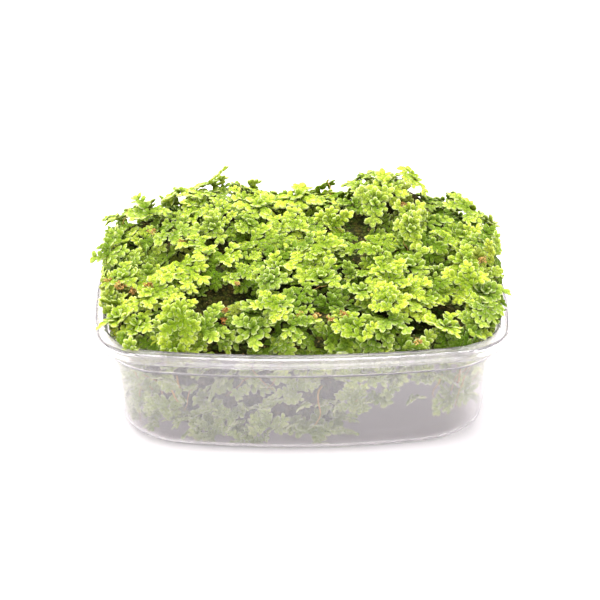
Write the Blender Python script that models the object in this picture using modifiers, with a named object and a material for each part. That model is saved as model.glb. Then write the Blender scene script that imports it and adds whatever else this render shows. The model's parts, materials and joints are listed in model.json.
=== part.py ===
"""Mosquito fern heaped in a clear plastic tub.

Metres, +Z up. The origin is the centre of the tub's base, on the surface that it stands on.
+X runs along the tub's long side, and -Y is its front.
"""

import math
import random

import bmesh
import bpy
from mathutils import Matrix, Vector, noise
from mathutils.bvhtree import BVHTree

MM = 0.001

# Tub, outside of the rim
TUB_LENGTH = 142 * MM
TUB_WIDTH = 104 * MM
TUB_HEIGHT = 40 * MM
WALL = 0.8 * MM
CORNER_RADIUS = 13 * MM
END_BOW = 4.5 * MM
FRONT_BOW = 7 * MM
CORNER_STEPS = 6
SIDE_STEPS = 6

# Tub section: how far in from the rim's outside, and how high, on the inner and upper side
FLOOR_INSET = 14 * MM
FOOT_RADIUS = 5.6 * MM
FOOT_STEPS = 3
LEDGE_INSET = 5.2 * MM
LEDGE_HEIGHT = 31.2 * MM
LEDGE_STEP = 1 * MM
LEDGE_RISE = 0.6 * MM
LIP_INSET = 3.8 * MM
LIP_ROUND = 0.6 * MM
SKIRT_DROP = 3.8 * MM

# Packed mat of fern inside the tub and above it
MAT_CLEARANCE = 1.0 * MM
MAT_LUMP = 2.2 * MM
LUMP_SIZE = 13 * MM
MAT_FLOOR_GAP = 0.5 * MM
MAT_WALL_SHARES = (0.14, 0.4, 0.7)
MAT_TOP_RINGS = (1.0, 0.96, 0.89, 0.79, 0.67, 0.54, 0.4, 0.26, 0.1)
TOP_LUMP = 4.5 * MM
TOP_LUMP_SIZE = 19 * MM
BRIM_GAP = 0.6 * MM
BRIM_INSET = 0.8 * MM
BRIM_START = -34 * MM
BRIM_END = 4 * MM
HOLLOW_LIFT = 9 * MM
HOLLOW_START = 14 * MM
HOLLOW_END = 34 * MM

# Heap: its rise over the rim at the front edge, along the ridge and at the back edge
RISE_FRONT = 5.5 * MM
RISE_RIDGE = 21 * MM
RISE_BACK = 13 * MM
RIDGE_Y = 32 * MM
SHOULDER_POWER = 4
SHOULDER_DROP = 0.5
EDGE_POWER = 18
EDGE_DROP = 0.34
# Clumps and hollows of the heap: x, y, rise and radius
CLUMPS = (
    (34 * MM, 35 * MM, 12 * MM, 13 * MM),
    (-28 * MM, 34 * MM, 7 * MM, 11 * MM),
    (-64 * MM, 28 * MM, 3 * MM, 12 * MM),
    (64 * MM, 22 * MM, 3 * MM, 11 * MM),
    (8 * MM, -34 * MM, 3 * MM, 12 * MM),
    (-24 * MM, 8 * MM, -4 * MM, 8 * MM),
    (36 * MM, -14 * MM, -3.5 * MM, 10 * MM),
)

# Fern plants that lie on the mat
PLANT_COUNT = 56
PLANT_LENGTH = 18.5 * MM
PLANT_WIDTH = 15 * MM
PLANT_THICKNESS = 1.5 * MM
PLANT_LOBES = 7
PLANT_FAN = 0.2
# Points of one lobe, from the notch before it: share of the pitch, and reach
LOBE_POINTS = ((0.0, 0.55), (0.22, 0.88), (0.5, 1.0), (0.78, 0.88))
LOBE_REACH = (0.78, 1.06)
PLANT_CUP = 1.8 * MM
PLANT_SIZES = (0.86, 1.1)
PLANT_TILT = math.radians(16)
PLANT_SPREAD = 0.98
PLACE_TRIES = 30
CONTACT_GAP = 0.4 * MM
DROP_START = 100 * MM
END_INSET = 1.5 * MM
END_INSET_START = 26 * MM
END_INSET_FULL = -8 * MM
FRONT_LIMIT = -48 * MM
BRIM_PLANTS = 3
SEED = 11

# Colours
TUB_COLOUR = (0.9, 0.9, 0.91, 0.45)
MAT_COLOUR = (0.2, 0.3, 0.06, 1)
PLANT_COLOUR = (0.45, 0.62, 0.12, 1)


def clear_scene():
    for obj in list(bpy.data.objects):
        bpy.data.objects.remove(obj)


def new_collection(name):
    collection = bpy.data.collections.new(name)
    bpy.context.scene.collection.children.link(collection)
    return collection


def material(name, colour, roughness, transmission=0.0):
    finish = bpy.data.materials.new(name)
    finish.use_nodes = True
    shader = finish.node_tree.nodes["Principled BSDF"]
    shader.inputs["Base Color"].default_value = colour
    shader.inputs["Roughness"].default_value = roughness
    shader.inputs["Metallic"].default_value = 0.0
    shader.inputs["Transmission Weight"].default_value = transmission
    finish.diffuse_color = colour
    return finish


def smooth_share(value, start, end):
    """0 up to start, 1 from end on, and an S curve between them."""
    share = min(1.0, max(0.0, (value - start) / (end - start)))
    return share * share * (3 - 2 * share)


def mix(first, second, share):
    return first + (second - first) * share


def tub_outline(inset):
    """The tub in plan, this far in from the rim's outside: four bowed sides and four round corners."""
    flat_x = TUB_LENGTH / 2 - END_BOW - inset
    flat_y = TUB_WIDTH / 2 - FRONT_BOW - inset
    centre_x = flat_x - CORNER_RADIUS
    centre_y = flat_y - CORNER_RADIUS
    points = []
    for side in range(4):
        turn = side * math.pi / 2
        sign_x, sign_y = ((1, -1), (1, 1), (-1, 1), (-1, -1))[side]
        for step in range(CORNER_STEPS):
            angle = turn - math.pi / 2 + step / CORNER_STEPS * math.pi / 2
            points.append(
                (
                    sign_x * centre_x + CORNER_RADIUS * math.cos(angle),
                    sign_y * centre_y + CORNER_RADIUS * math.sin(angle),
                )
            )
        start = Vector(
            (
                sign_x * centre_x + CORNER_RADIUS * math.cos(turn),
                sign_y * centre_y + CORNER_RADIUS * math.sin(turn),
            )
        )
        end = start.copy()
        end[(side + 1) % 2] *= -1
        for step in range(SIDE_STEPS):
            points.append(tuple(start.lerp(end, step / SIDE_STEPS)))
    return [
        (
            x * (1 + END_BOW / flat_x * (1 - (y / flat_y) ** 2)),
            y * (1 + FRONT_BOW / flat_y * (1 - (x / flat_x) ** 2)),
        )
        for x, y in points
    ]


def ring_at(inset, height):
    return [Vector((x, y, height)) for x, y in tub_outline(inset)]


def tub_section():
    """Inner and upper side of the wall, as (inset, height), from the floor to the skirt's lower edge."""
    section = []
    for step in range(FOOT_STEPS + 1):
        angle = step / FOOT_STEPS * math.pi / 2 * 0.92
        section.append(
            (
                FLOOR_INSET - FOOT_RADIUS * math.sin(angle),
                WALL + FOOT_RADIUS * (1 - math.cos(angle)),
            )
        )
    section += [
        (LEDGE_INSET, LEDGE_HEIGHT),
        (LEDGE_INSET - LEDGE_STEP, LEDGE_HEIGHT + LEDGE_RISE),
        (LIP_INSET, TUB_HEIGHT - LIP_ROUND),
        (LIP_INSET - LIP_ROUND, TUB_HEIGHT),
        (LIP_ROUND, TUB_HEIGHT),
        (0.0, TUB_HEIGHT - LIP_ROUND),
        (0.0, TUB_HEIGHT - SKIRT_DROP),
    ]
    return section


def wall_inset(height):
    """Inset of the tub's inner wall at a height between the floor and the lip."""
    section = tub_section()[: FOOT_STEPS + 4]
    for (inset_a, low), (inset_b, high) in zip(section, section[1:]):
        if height <= high:
            share = max(0.0, (height - low) / (high - low))
            return mix(inset_a, inset_b, share)
    return section[-1][0]


def skin(name, rings, cap_last):
    """A surface lofted through rings with the same number of points. The first ring is capped."""
    shape = bmesh.new()
    loops = [[shape.verts.new(point) for point in ring] for ring in rings]
    count = len(loops[0])
    shape.faces.new(reversed(loops[0]))
    for lower, upper in zip(loops, loops[1:]):
        for k in range(count):
            after = (k + 1) % count
            shape.faces.new((lower[k], lower[after], upper[after], upper[k]))
    if cap_last:
        shape.faces.new(loops[-1])
    mesh = bpy.data.meshes.new(name)
    shape.to_mesh(mesh)
    shape.free()
    return mesh


def add_object(name, mesh, finish, collection):
    mesh.materials.append(finish)
    mesh.shade_smooth()
    mesh.set_sharp_from_angle(angle=math.radians(40))
    obj = bpy.data.objects.new(name, mesh)
    collection.objects.link(obj)
    return obj


def make_tub(collection):
    """The tub: floor, sloping wall, stacking ledge, and a lip that turns over into a skirt."""
    rings = [ring_at(inset, height) for inset, height in tub_section()]
    mesh = skin("tub", rings, cap_last=False)
    finish = material("clear_plastic", TUB_COLOUR, 0.25, transmission=0.7)
    tub = add_object("tub", mesh, finish, collection)
    shell = tub.modifiers.new("wall", "SOLIDIFY")
    shell.thickness = WALL
    shell.offset = 1.0
    shell.use_even_offset = True
    return tub


def heap_rise(x, y):
    """How far the heap's surface stands over the rim."""
    if y < RIDGE_Y:
        along = smooth_share(y, -TUB_WIDTH / 2, RIDGE_Y)
        rise = mix(RISE_FRONT, RISE_RIDGE, along)
    else:
        rise = mix(RISE_RIDGE, RISE_BACK, smooth_share(y, RIDGE_Y, TUB_WIDTH / 2))
    rise *= 1 - SHOULDER_DROP * abs(2 * x / TUB_LENGTH) ** SHOULDER_POWER
    for clump_x, clump_y, height, radius in CLUMPS:
        away = ((x - clump_x) ** 2 + (y - clump_y) ** 2) / radius**2
        rise += height * math.exp(-away)
    return rise


def floor_lift(x, y):
    """The fern bridges over an empty corner, at the front right of the tub's floor."""
    across = smooth_share(x, HOLLOW_START, HOLLOW_END)
    forward = smooth_share(-y, -HOLLOW_END, 0.0)
    return HOLLOW_LIFT * across * forward


def lump(point):
    """Uneven surface of packed fern, from 0 to MAT_LUMP."""
    return MAT_LUMP * (0.5 + 0.5 * noise.noise(point / LUMP_SIZE))


def top_lump(point):
    """Mounds and hollows on top of the heap, from 0 to TOP_LUMP."""
    return TOP_LUMP * (0.5 + 0.5 * noise.noise(point / TOP_LUMP_SIZE))


def brim_outline():
    """The heap's outline over the lip, which it covers at the sides and the back but not at the front."""
    points = []
    for k, (_, y) in enumerate(tub_outline(LIP_INSET)):
        back = smooth_share(y, BRIM_START, BRIM_END)
        points.append(tub_outline(mix(LIP_INSET + MAT_CLEARANCE, BRIM_INSET, back))[k])
    return points


def make_mat(collection):
    """The packed fern under the top plants: one lumpy form that fills the tub and heaps over it."""
    bottom = WALL + MAT_FLOOR_GAP
    wall_top = TUB_HEIGHT - LIP_ROUND
    outline = tub_outline(FLOOR_INSET)
    rings = []
    for share in (0.45, 0.98):
        rings.append(
            [
                Vector((x * share, y * share, bottom + floor_lift(x * share, y * share)))
                for x, y in outline
            ]
        )
    for share in MAT_WALL_SHARES:
        ring = []
        for k, (x, y) in enumerate(outline):
            height = mix(bottom + floor_lift(x, y), wall_top, share)
            inset = wall_inset(height) + MAT_CLEARANCE + lump(Vector((x, y, height)))
            out_x, out_y = tub_outline(inset)[k]
            ring.append(Vector((out_x, out_y, height)))
        rings.append(ring)
    inside_lip = tub_outline(LIP_INSET + MAT_CLEARANCE)
    brim = brim_outline()
    rings.append([Vector((x, y, TUB_HEIGHT + BRIM_GAP / 2)) for x, y in inside_lip])
    rings.append([Vector((x, y, TUB_HEIGHT + BRIM_GAP)) for x, y in brim])
    for share in MAT_TOP_RINGS:
        ring = []
        for x, y in brim:
            point = Vector((x * share, y * share, TUB_HEIGHT))
            rise = heap_rise(point.x, point.y) * (1 - EDGE_DROP * share**EDGE_POWER)
            point.z += max(2 * BRIM_GAP, rise - top_lump(point))
            ring.append(point)
        rings.append(ring)
    mesh = skin("fern_mat", rings, cap_last=True)
    return add_object("fern_mat", mesh, material("fern_mat", MAT_COLOUR, 0.8), collection)


def plant_shape(draw):
    """One plant lying flat: a cupped plate with rounded lobes of uneven length."""
    shape = bmesh.new()
    bmesh.ops.create_cone(
        shape,
        cap_ends=True,
        cap_tris=True,
        segments=PLANT_LOBES * len(LOBE_POINTS),
        radius1=1.0,
        radius2=1.0,
        depth=PLANT_THICKNESS,
    )
    lengths = [draw.uniform(*LOBE_REACH) for _ in range(PLANT_LOBES)]
    pitch = 2 * math.pi / PLANT_LOBES
    for vert in shape.verts:
        out = math.hypot(vert.co.x, vert.co.y)
        step = round(math.atan2(vert.co.y, vert.co.x) / pitch * len(LOBE_POINTS))
        lobe, corner = divmod(step, len(LOBE_POINTS))
        share, reach = LOBE_POINTS[corner]
        angle = (lobe + share) * pitch
        reach *= out * (lengths[lobe] if corner else 1.0) * (1 + PLANT_FAN * math.cos(angle))
        vert.co.x = math.cos(angle) * reach * PLANT_LENGTH / 2
        vert.co.y = math.sin(angle) * reach * PLANT_WIDTH / 2
        vert.co.z += PLANT_CUP * (1 - reach**2)
    bmesh.ops.recalc_face_normals(shape, faces=shape.faces)
    return shape


class Surface:
    """A placed mesh's points and its tree, for finding what rests on it."""

    def __init__(self, points, faces):
        self.points = points
        self.tree = BVHTree.FromPolygons(points, faces)
        self.reach = max((point - points[0]).length for point in points)

    @classmethod
    def of_mesh(cls, mesh):
        return cls(
            [vert.co.copy() for vert in mesh.vertices],
            [tuple(face.vertices) for face in mesh.polygons],
        )

    def is_near(self, other):
        apart = (self.points[0].xy - other.points[0].xy).length
        return apart < self.reach + other.reach


def drop_distance(surface, below):
    """How far a surface can come down before it meets one of those below it."""
    down, up = Vector((0, 0, -1)), Vector((0, 0, 1))
    gaps = []
    for placed in below:
        gaps += [placed.tree.ray_cast(point, down)[3] for point in surface.points]
        gaps += [surface.tree.ray_cast(point, up)[3] for point in placed.points]
    return min(gap for gap in gaps if gap is not None)


def inside_limits(points):
    """The sideways shift that keeps a plant inside the tub's box, and farther in towards the front."""
    middle = sum(points, Vector()) / len(points)
    back = smooth_share(middle.y, END_INSET_FULL, END_INSET_START)
    limit = TUB_LENGTH / 2 - mix(END_INSET, 0.0, back)
    shift = Vector((0, 0, 0))
    for axis, (low, high) in enumerate(((-limit, limit), (FRONT_LIMIT, TUB_WIDTH / 2))):
        shift[axis] = max(0.0, low - min(point[axis] for point in points))
        shift[axis] -= max(0.0, max(point[axis] for point in points) - high)
    return shift


def lowered(shape, below):
    """Brings a plant down until it rests on what lies under it, a contact gap away."""
    points = [vert.co.copy() for vert in shape.verts]
    faces = [tuple(vert.index for vert in face.verts) for face in shape.faces]
    shift = inside_limits(points)
    points = [point + shift for point in points]
    plant = Surface(points, faces)
    near = [placed for placed in below if placed.is_near(plant)]
    fall = Vector((0, 0, CONTACT_GAP - drop_distance(plant, near)))
    plant = Surface([point + fall for point in points], faces)
    while any(placed.tree.overlap(plant.tree) for placed in near):
        plant = Surface([point + Vector((0, 0, CONTACT_GAP)) for point in plant.points], faces)
    return plant, faces


def tried_plant(draw, mat, below, edge, at_brim):
    """One plant at a random place, tilted as the mat is under it, with its height above the mat."""
    reach = 1.0 if at_brim else math.sqrt(draw.random())
    place = Vector(draw.choice(edge)) * PLANT_SPREAD * reach
    heap_top = Vector((*place, TUB_HEIGHT + heap_rise(*place)))
    lie = mat.tree.find_nearest(heap_top)[1].to_track_quat("Z", "Y").to_matrix()
    lean = Matrix.Rotation(PLANT_TILT * draw.uniform(-1, 1), 3, draw.choice("XY"))
    spin = Matrix.Rotation(draw.uniform(0, 2 * math.pi), 3, "Z")
    size = Matrix.Scale(draw.uniform(*PLANT_SIZES), 4)
    shape = plant_shape(draw)
    shape.transform(Matrix.Translation((*place, DROP_START)) @ (lie @ lean @ spin).to_4x4() @ size)
    plant, faces = lowered(shape, below)
    shape.free()
    gaps = [mat.tree.find_nearest(point)[3] for point in plant.points]
    return sum(gaps) / len(gaps), plant, faces


def make_plants(mat_mesh, tub_mesh, collection):
    """Plants dropped one by one on the mat, each where it lies closest to the mat of a few tries."""
    draw = random.Random(SEED)
    finish = material("fern_plant", PLANT_COLOUR, 0.6)
    mat = Surface.of_mesh(mat_mesh)
    below = [mat, Surface.of_mesh(tub_mesh)]
    edge = brim_outline()
    for number in range(1, PLANT_COUNT + 1):
        at_brim = number % BRIM_PLANTS == 0
        tries = [tried_plant(draw, mat, below, edge, at_brim) for _ in range(PLACE_TRIES)]
        _, plant, faces = min(tries, key=lambda found: found[0])
        below.append(plant)
        mesh = bpy.data.meshes.new("plant")
        mesh.from_pydata(plant.points, [], faces)
        add_object(f"fern_plant_{number:02d}", mesh, finish, collection)


def main():
    clear_scene()
    collection = new_collection("mosquito_fern")
    tub = make_tub(collection)
    mat = make_mat(collection)
    bpy.context.view_layer.update()
    graph = bpy.context.evaluated_depsgraph_get()
    tub_mesh = bpy.data.meshes.new_from_object(tub.evaluated_get(graph))
    make_plants(mat.data, tub_mesh, collection)
    bpy.data.meshes.remove(tub_mesh)


main()
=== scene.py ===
"""Looks of a clear plastic tub that is packed and heaped with loose mosquito fern."""

import sys

import json
import logging
from dataclasses import dataclass, field
from enum import Enum
from math import cos, hypot, pi, radians, sin, sqrt
from random import Random

import bmesh
import bpy
import numpy as np
from mathutils import Matrix, Vector, noise

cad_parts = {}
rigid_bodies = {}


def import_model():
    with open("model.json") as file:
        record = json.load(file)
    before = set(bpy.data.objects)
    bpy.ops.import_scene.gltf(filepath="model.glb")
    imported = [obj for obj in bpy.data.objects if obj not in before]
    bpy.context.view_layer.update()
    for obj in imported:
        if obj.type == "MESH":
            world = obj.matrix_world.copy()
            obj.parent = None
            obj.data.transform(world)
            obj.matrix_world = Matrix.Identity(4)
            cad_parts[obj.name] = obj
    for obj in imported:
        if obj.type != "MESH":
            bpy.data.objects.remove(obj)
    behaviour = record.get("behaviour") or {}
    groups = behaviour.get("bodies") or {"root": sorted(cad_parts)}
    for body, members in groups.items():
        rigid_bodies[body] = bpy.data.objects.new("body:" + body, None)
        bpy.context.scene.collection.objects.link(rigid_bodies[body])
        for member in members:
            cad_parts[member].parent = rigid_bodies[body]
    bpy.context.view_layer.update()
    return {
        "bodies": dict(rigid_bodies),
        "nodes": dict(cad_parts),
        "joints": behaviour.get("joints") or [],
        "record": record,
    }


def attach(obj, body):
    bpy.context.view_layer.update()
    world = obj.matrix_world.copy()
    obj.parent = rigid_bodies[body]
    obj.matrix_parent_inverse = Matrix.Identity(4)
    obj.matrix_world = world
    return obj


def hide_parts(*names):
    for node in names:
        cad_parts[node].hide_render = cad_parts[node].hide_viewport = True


MM = 0.001
ROOT = "root"
GROWTH = "growth"
SOFT_FALL = 2.718
LOG = logging.getLogger("mosquito_fern")

Socket = bpy.types.NodeSocket
Colour = tuple[float, float, float]
Amount = Socket | float
Tint = Socket | Colour
Length = float | np.ndarray
Inputs = dict[str | int, Socket | float | tuple[float, ...]]


def smooth_share(value: float, low: float, high: float) -> float:
    """Share of the way that a value is from low to high, from 0 to 1, with soft ends."""
    share = min(1.0, max(0.0, (value - low) / (high - low)))
    return share * share * (3 - 2 * share)


def unit(vector: Vector) -> Vector:
    """A vector's direction."""
    return vector.normalized()


def random_direction(draw: Random) -> Vector:
    """Draws a direction evenly from the whole sphere.

    Args:
        draw: Random numbers.
    Returns:
        The direction.
    """
    height = draw.uniform(-1, 1)
    turn = draw.uniform(0, 2 * pi)
    out = sqrt(1 - height * height)
    return Vector((out * cos(turn), out * sin(turn), height))


class Bench:
    """Places nodes in one node tree and joins their sockets."""

    def __init__(self, tree: bpy.types.NodeTree) -> None:
        """Keeps the tree that the nodes go into."""
        self.tree = tree

    def put(self, kind: str, inputs: Inputs | None = None, **settings: object) -> bpy.types.Node:
        """Adds a node.

        Args:
            kind: Blender's name for the node, without the word ShaderNode.
            inputs: Constants, or sockets that feed in, by the input's name or number.
            settings: The node's own properties.
        Returns:
            The new node.
        """
        node = self.tree.nodes.new("ShaderNode" + kind)
        for name, value in settings.items():
            setattr(node, name, value)
        self.feed(node, inputs or {})
        return node

    def feed(self, node: bpy.types.Node, inputs: Inputs) -> None:
        """Sets a node's inputs.

        Args:
            node: The node.
            inputs: Constants, or sockets that feed in, by the input's name or number.
        """
        for name, value in inputs.items():
            if isinstance(value, Socket):
                self.tree.links.new(value, node.inputs[name])
            else:
                node.inputs[name].default_value = value

    def math(self, how: str, first: Amount, second: Amount = 0.0, third: Amount = 0.0) -> Socket:
        """Does one sum, by Blender's name of the operation."""
        return self.put("Math", {0: first, 1: second, 2: third}, operation=how).outputs[0]

    def blend(self, share: Amount, first: Tint, second: Tint, how: str = "MIX") -> Socket:
        """Mixes two colours.

        Args:
            share: How much of the second colour.
            first: Colour or socket.
            second: Colour or socket.
            how: Blender's name of the blend.
        Returns:
            The mixed colour's socket.
        """
        sides = []
        for value in (first, second):
            sides.append(value if isinstance(value, Socket) else (*value, 1.0))
        node = self.put("Mix", {0: share, 6: sides[0], 7: sides[1]}, data_type="RGBA", blend_type=how)
        return node.outputs[2]

    def span(self, value: Socket, low: float, high: float, start: float = 0.0, end: float = 1.0) -> Socket:
        """Maps the range from low to high on to start to end, softly and with its ends held."""
        inputs = {"Value": value, 1: low, 2: high, 3: start, 4: end}
        return self.put("MapRange", inputs, interpolation_type="SMOOTHSTEP").outputs[0]

    def noise(self, place: Socket, scale: Amount, detail: float = 3.0, roughness: float = 0.55) -> Socket:
        """Soft noise from 0 to 1 over a place."""
        inputs = {"Vector": place, "Scale": scale, "Detail": detail, "Roughness": roughness}
        return self.put("TexNoise", inputs).outputs["Fac"]


class SharedEffects:
    """The surface effects that several finishes use, each one node group built once."""

    def __init__(self) -> None:
        """Builds the groups."""
        self.grain = self.build_grain()
        self.mottle = self.build_mottle()

    @staticmethod
    def start(
        name: str, inputs: tuple[str, ...], outputs: tuple[str, ...]
    ) -> tuple[Bench, bpy.types.Node, bpy.types.Node]:
        """Starts a node group.

        Args:
            name: The group's name.
            inputs: Names of the numbers that it takes besides the place.
            outputs: Names of the masks that it gives.
        Returns:
            The bench, the node with the group's inputs and the node for its outputs.
        """
        tree = bpy.data.node_groups.new(name, "ShaderNodeTree")
        tree.interface.new_socket("Place", in_out="INPUT", socket_type="NodeSocketVector")
        for word in inputs:
            tree.interface.new_socket(word, in_out="INPUT", socket_type="NodeSocketFloat")
        for word in outputs:
            tree.interface.new_socket(word, in_out="OUTPUT", socket_type="NodeSocketFloat")
        return Bench(tree), tree.nodes.new("NodeGroupInput"), tree.nodes.new("NodeGroupOutput")

    def build_grain(self) -> bpy.types.NodeTree:
        """Builds the tiny rounded scales that cover a surface.

        Returns:
            The group. It gives the scales' height and the gaps between them.
        """
        bench, given, result = self.start("grain_of_scales", ("Scale", "Unevenness"), ("Height", "Gaps"))
        spot, scale = given.outputs["Place"], given.outputs["Scale"]
        drift = bench.noise(spot, bench.math("MULTIPLY", scale, 0.4), 1.0)
        push = bench.math("MULTIPLY", bench.math("SUBTRACT", drift, 0.5), given.outputs["Unevenness"])
        shift = bench.put("CombineXYZ", {0: push, 2: push}).outputs[0]
        place = bench.put("VectorMath", {0: spot, 1: shift}).outputs[0]
        inputs = {"Vector": place, "Scale": scale, "Randomness": 0.85}
        far = bench.put("TexVoronoi", inputs, feature="F1").outputs["Distance"]
        height, gaps = bench.span(far, 0.75, 0.05), bench.span(far, 0.38, 0.72)
        bench.feed(result, {"Height": height, "Gaps": gaps})
        return bench.tree

    def build_mottle(self) -> bpy.types.NodeTree:
        """Builds soft patches, and finer specks on them.

        Returns:
            The group. It gives the patches and the specks.
        """
        bench, given, result = self.start("mottle", ("Scale",), ("Patches", "Specks"))
        spot, scale = given.outputs["Place"], given.outputs["Scale"]
        broad = bench.noise(spot, scale, 3.0)
        fine = bench.noise(spot, bench.math("MULTIPLY", scale, 7.0), 2.0)
        patches, specks = bench.span(broad, 0.34, 0.66), bench.span(fine, 0.58, 0.74)
        bench.feed(result, {"Patches": patches, "Specks": specks})
        return bench.tree


class Finish:
    """Base of the finishes: starts a material with one Principled shader."""

    name: str
    effects: SharedEffects

    def start(self) -> tuple[bpy.types.Material, Bench, bpy.types.Node, Socket]:
        """Starts the material.

        Returns:
            The material, a bench for its tree, its Principled shader and the place on the piece.
        """
        material = bpy.data.materials.new(self.name)
        material.use_nodes = True
        bench = Bench(material.node_tree)
        shader = material.node_tree.nodes["Principled BSDF"]
        place = bench.put("TexCoord").outputs["Object"]
        return material, bench, shader, place

    @staticmethod
    def growth(bench: Bench) -> tuple[Socket, Socket, Socket, Socket]:
        """Reads the growth attribute.

        Args:
            bench: The material's bench.
        Returns:
            Nearness to a lobe's margin, outward share of the plant, tone and age.
        """
        growth = bench.put("Attribute", attribute_name=GROWTH, attribute_type="GEOMETRY")
        parts = bench.put("SeparateColor", {"Color": growth.outputs["Color"]})
        return (*parts.outputs[:3], growth.outputs["Alpha"])

    @staticmethod
    def effect(bench: Bench, group: bpy.types.NodeTree, place: Socket, **values: float) -> bpy.types.Node:
        """Places a shared effect in the material.

        Args:
            bench: The material's bench.
            group: The effect.
            place: Where on the piece.
            values: The effect's own inputs.
        Returns:
            The group's node.
        """
        node = bench.tree.nodes.new("ShaderNodeGroup")
        node.node_tree = group
        bench.feed(node, {"Place": place, **values})
        return node

    @staticmethod
    def bumps(bench: Bench, height: Socket, depth: float, strength: float) -> Socket:
        """Makes bumps for the shader's Normal, where height 1 is as high as the depth."""
        inputs = {"Height": height, "Distance": depth, "Strength": strength}
        return bench.put("Bump", inputs).outputs[0]


@dataclass(frozen=True)
class FernFinish(Finish):
    """Living fern: granular lobes, with painted shade at a plant's middle and between its scales, frosted
    pale at tips and margins.
    """

    effects: SharedEffects
    name: str = "fern_leaf"
    sage: Colour = (0.12, 0.21, 0.016)
    fresh: Colour = (0.4, 0.48, 0.01)
    pale: Colour = (0.58, 0.67, 0.13)
    margin: Colour = (0.76, 0.83, 0.43)
    # Painted shade: multiplied over the green towards a plant's middle, where its lobes overlap.
    heart: Colour = (0.22, 0.34, 0.06)
    # Painted shade in the crevices between the tiny scales.
    gap: Colour = (0.07, 0.14, 0.004)
    dead: Colour = (0.42, 0.2, 0.07)
    straw: Colour = (0.7, 0.5, 0.16)
    scale_leaf: float = 0.85 * MM
    unevenness: float = 0.4 * MM
    bump_depth: float = 0.3 * MM
    glow_depth: float = 1.3 * MM

    def build(self) -> bpy.types.Material:
        """Builds the material from the growth attribute and the shared effects.

        Returns:
            The material.
        """
        material, bench, shader, place = self.start()
        margin, outward, tone, age = self.growth(bench)
        leaves = {"Scale": 1 / self.scale_leaf, "Unevenness": self.unevenness}
        grain = self.effect(bench, self.effects.grain, place, **leaves)
        mottle = self.effect(bench, self.effects.mottle, place, Scale=110.0)
        shade = bench.math("MULTIPLY_ADD", mottle.outputs["Patches"], 0.25, tone)
        green = bench.blend(shade, self.sage, self.fresh)
        # Painted shade: darkens the green towards the plant's middle.
        green = bench.blend(bench.span(outward, 0.1, 0.75, 0.9, 0.0), green, self.heart, "MULTIPLY")
        # Paler towards the tips: the plant's own colour, made stronger or weaker by its painted light, which
        # scales the outward share and the margin.
        green = bench.blend(bench.math("MULTIPLY", outward, 0.5), green, self.pale)
        # Painted shade in the gaps between the scales.
        green = bench.blend(bench.math("MULTIPLY", grain.outputs["Gaps"], 0.5), green, self.gap)
        green = bench.blend(bench.math("MULTIPLY", margin, 0.58), green, self.margin)
        brown = bench.blend(mottle.outputs["Specks"], self.dead, self.straw)
        looks = {
            "Base Color": bench.blend(age, green, brown),
            "Roughness": bench.math("MULTIPLY_ADD", grain.outputs["Gaps"], 0.2, 0.55),
            "Subsurface Weight": 0.32,
            "Subsurface Radius": (0.8, 1.0, 0.2),
            "Subsurface Scale": self.glow_depth,
            "Specular IOR Level": 0.05,
            "Normal": self.bumps(bench, grain.outputs["Height"], self.bump_depth, 0.7),
        }
        bench.feed(shader, looks)
        return material

    @classmethod
    def lit_copy_behind_wall(cls, effects: SharedEffects) -> "FernFinish":
        """A paler copy of the fern's finish: painted light for the fronds inside the wall, seen through the
        plastic.

        Args:
            effects: The shared effects.
        Returns:
            The finish.
        """
        return cls(
            effects,
            name="fern_bleached",
            sage=(0.2, 0.28, 0.065),
            fresh=(0.44, 0.53, 0.1),
            pale=(0.78, 0.88, 0.4),
            margin=(1.0, 1.0, 0.8),
            heart=(0.36, 0.46, 0.22),
            gap=(0.2, 0.27, 0.06),
        )


@dataclass(frozen=True)
class TangleFinish(Finish):
    """The inside of the heap: old stems and roots, coloured near black as painted shade deep in the heap."""

    effects: SharedEffects
    name: str = "deep_shade_tangle"
    # Painted shade: the whole palette is near black, for the shade deep in the heap.
    dark: Colour = (0.016, 0.018, 0.003)
    brown: Colour = (0.075, 0.05, 0.012)
    green: Colour = (0.04, 0.08, 0.006)
    crumb: Colour = (0.2, 0.15, 0.05)
    unevenness: float = 1.5 * MM
    bump_depth: float = 1.0 * MM

    def build(self) -> bpy.types.Material:
        """Builds the material: strands of brown and dark green, all darkened as painted shade.

        Returns:
            The material.
        """
        material, bench, shader, place = self.start()
        grain = self.effect(bench, self.effects.grain, place, Scale=620.0, Unevenness=self.unevenness)
        mottle = self.effect(bench, self.effects.mottle, place, Scale=160.0)
        base = bench.blend(mottle.outputs["Patches"], self.brown, self.green)
        # Painted shade, darkest in the gaps between the strands.
        base = bench.blend(grain.outputs["Gaps"], base, self.dark)
        looks = {
            "Base Color": bench.blend(mottle.outputs["Specks"], base, self.crumb),
            "Roughness": 0.8,
            "Specular IOR Level": 0.1,
            "Normal": self.bumps(bench, grain.outputs["Height"], self.bump_depth, 0.9),
        }
        bench.feed(shader, looks)
        return material


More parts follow.
